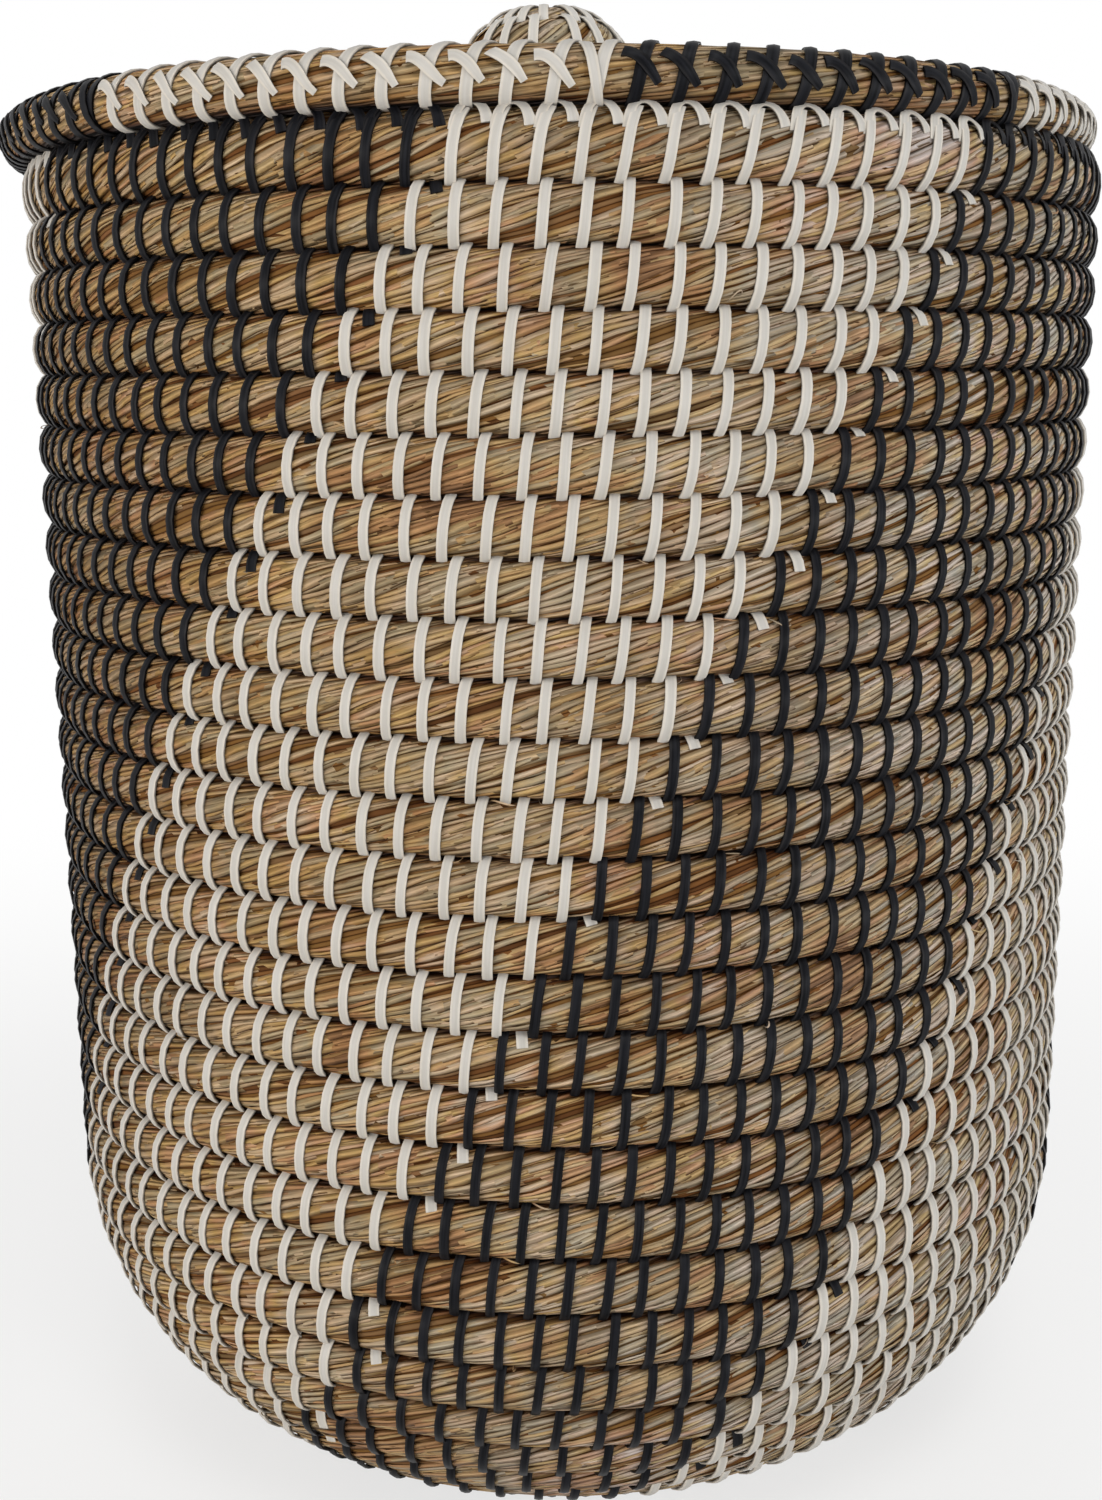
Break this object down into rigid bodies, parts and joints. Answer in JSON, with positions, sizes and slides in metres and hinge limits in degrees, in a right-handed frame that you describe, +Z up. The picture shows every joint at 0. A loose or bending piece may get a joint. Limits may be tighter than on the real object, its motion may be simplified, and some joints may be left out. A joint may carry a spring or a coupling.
{
  "type": "laundry basket",
  "caption": "Round coiled grass laundry basket with straight wall, rounded heel, flat base and a lift-off coiled lid with a domed knob, stitched in cream and black strip.",
  "frame": {"origin": "centre of the basket's flat base, on the floor", "axes": "+Z up through the lid, -Y the front that the picture shows, +X to the right seen from the front"},
  "size_m": [0.4272, 0.424, 0.5747],
  "materials": {
    "grass": "matte",
    "cream_strip": "satin",
    "black_strip": "satin"
  },
  "bodies": {
    "basket": {"base_coil": "grass", "heel_coil": "grass", "wall_coil": "grass", "rim_coil": "grass"},
    "lid": {"lid_panel_coil": "grass", "lid_rim_coil": "grass", "lid_seat_ring": "grass", "knob_coil": "grass", "knob_core": "grass"}
  },
  "joints": [
    {"name": "lid_lift", "type": "slide", "parent": "basket", "child": "lid", "axis": [0, 0, 1], "range_m": [0, 0.3]}
  ]
}
